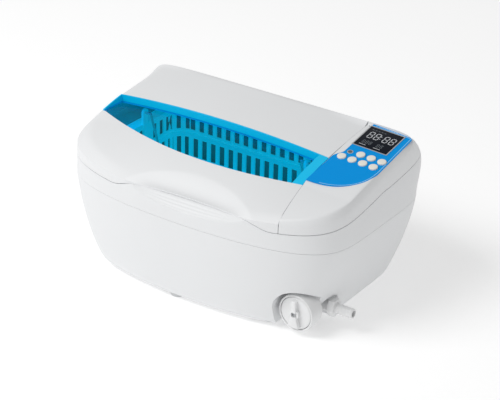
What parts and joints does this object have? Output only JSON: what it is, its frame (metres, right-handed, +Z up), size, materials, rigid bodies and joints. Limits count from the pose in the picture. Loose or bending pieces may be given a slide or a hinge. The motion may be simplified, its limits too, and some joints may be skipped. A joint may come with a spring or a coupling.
{
  "type": "ultrasonic cleaner",
  "caption": "Bench ultrasonic cleaner with a hinged lid and blue window, a digital control pod, a lift-out basket in a steel tank, and a drain valve with a hose barb.",
  "frame": {"origin": "on the bench plane, in the middle of the housing's footprint", "axes": "+Z up, +X towards the control pod and the drain barb, +Y towards the hinged back"},
  "size_m": [0.3923, 0.2774, 0.1931],
  "materials": {
    "white_housing": "fine satin texture",
    "blue_window": "clear tinted",
    "blue_panel": "satin film",
    "stainless_steel": "brushed",
    "seal_rubber": "matte",
    "cast_alloy": "turned",
    "piezo_ceramic": "matte",
    "brass_parts": "plain",
    "back_mass_steel": "turned",
    "dark_steel": "black oxide",
    "silicone_heater": "matte",
    "natural_plastic": "satin",
    "key_plastic": "satin",
    "black_plastic": "gloss",
    "indicator_red": "translucent",
    "green_board": "solder mask",
    "ribbon_grey": "satin",
    "winding_yellow": "tape",
    "capacitor_blue": "sleeve",
    "lead_red": "insulation"
  },
  "bodies": {
    "housing": {"lower_housing": "white_housing", "base_plate": "white_housing", "rubber_feet": "seal_rubber", "upper_housing": "white_housing", "control_pod": "white_housing", "hinge_pins": "stainless_steel", "housing_screws": "stainless_steel", "tank": "stainless_steel", "tank_gasket": "seal_rubber", "transducer_faces": "cast_alloy", "transducer_rings": "piezo_ceramic", "transducer_electrodes": "brass_parts", "transducer_backs": "back_mass_steel", "transducer_bolts": "dark_steel", "heater_pads": "silicone_heater", "temperature_sensor": "ribbon_grey", "drain_fitting": "brass_parts", "drain_hose": "silicone_heater", "valve_body": "natural_plastic", "knob_bezel": "white_housing", "outlet_barb": "natural_plastic", "outlet_nut": "natural_plastic", "control_fascia": "blue_panel", "display_module": "black_plastic", "indicator_light": "indicator_red", "control_board": "green_board", "tact_switches": "black_plastic", "ribbon_cable": "ribbon_grey", "driver_board": "green_board", "driver_transformer": "winding_yellow", "driver_capacitors": "capacitor_blue", "driver_heatsink": "cast_alloy", "board_standoffs": "brass_parts", "power_inlet": "black_plastic", "inlet_screws": "stainless_steel", "fan_frame": "black_plastic", "transducer_leads": "lead_red"},
    "lid": {"lid_shell": "white_housing", "lid_window": "blue_window"},
    "basket": {"basket": "natural_plastic"},
    "bail": {"basket_bail": "stainless_steel"},
    "drain_valve": {"drain_knob": "natural_plastic", "knob_screw": "stainless_steel", "valve_ball": "stainless_steel"},
    "fan_rotor": {"fan_rotor": "black_plastic"},
    "key_power": {"key_power": "key_plastic"},
    "key_heat": {"key_heat": "key_plastic"},
    "key_degas": {"key_degas": "key_plastic"},
    "key_drain": {"key_drain": "key_plastic"},
    "key_minus": {"key_minus": "key_plastic"},
    "key_plus": {"key_plus": "key_plastic"},
    "key_start": {"key_start": "key_plastic"}
  },
  "joints": [
    {"name": "lid_hinge", "type": "hinge", "parent": "housing", "child": "lid", "pos_m": [-0.02, 0.1165, 0.163], "axis": [-1, 0, 0], "range_deg": [0, 75]},
    {"name": "basket_lift", "type": "slide", "parent": "housing", "child": "basket", "axis": [0, 0, 1], "range_m": [0, 0.07]},
    {"name": "bail_hinge", "type": "hinge", "parent": "basket", "child": "bail", "pos_m": [-0.03, -0.003, 0.157], "axis": [1, 0, 0], "range_deg": [0, 156]},
    {"name": "drain_valve_turn", "type": "hinge", "parent": "housing", "child": "drain_valve", "pos_m": [0.1478, -0.1, 0.0281], "axis": [0, 1, 0], "range_deg": [0, 90]},
    {"name": "fan_spin", "type": "hinge", "parent": "housing", "child": "fan_rotor", "pos_m": [0.127, 0.05, 0.018], "axis": [0, 0, 1], "continuous": true},
    {"name": "key_power_press", "type": "slide", "parent": "housing", "child": "key_power", "axis": [-0.045, 0.1674, -0.9849], "range_m": [0, 0.0008], "stiffness_N_per_m": 600},
    {"name": "key_heat_press", "type": "slide", "parent": "housing", "child": "key_heat", "axis": [-0.045, 0.1674, -0.9849], "range_m": [0, 0.0008], "stiffness_N_per_m": 600},
    {"name": "key_degas_press", "type": "slide", "parent": "housing", "child": "key_degas", "axis": [-0.045, 0.1674, -0.9849], "range_m": [0, 0.0008], "stiffness_N_per_m": 600},
    {"name": "key_drain_press", "type": "slide", "parent": "housing", "child": "key_drain", "axis": [-0.045, 0.1674, -0.9849], "range_m": [0, 0.0008], "stiffness_N_per_m": 600},
    {"name": "key_minus_press", "type": "slide", "parent": "housing", "child": "key_minus", "axis": [-0.045, 0.1674, -0.9849], "range_m": [0, 0.0008], "stiffness_N_per_m": 600},
    {"name": "key_plus_press", "type": "slide", "parent": "housing", "child": "key_plus", "axis": [-0.045, 0.1674, -0.9849], "range_m": [0, 0.0008], "stiffness_N_per_m": 600},
    {"name": "key_start_press", "type": "slide", "parent": "housing", "child": "key_start", "axis": [-0.045, 0.1674, -0.9849], "range_m": [0, 0.0008], "stiffness_N_per_m": 600}
  ],
  "couplings": [
    {"joint": "basket_lift", "follows": "lid_hinge", "m_per_rad": 0.053471},
    {"joint": "bail_hinge", "follows": "lid_hinge", "ratio": 2.0798}
  ]
}
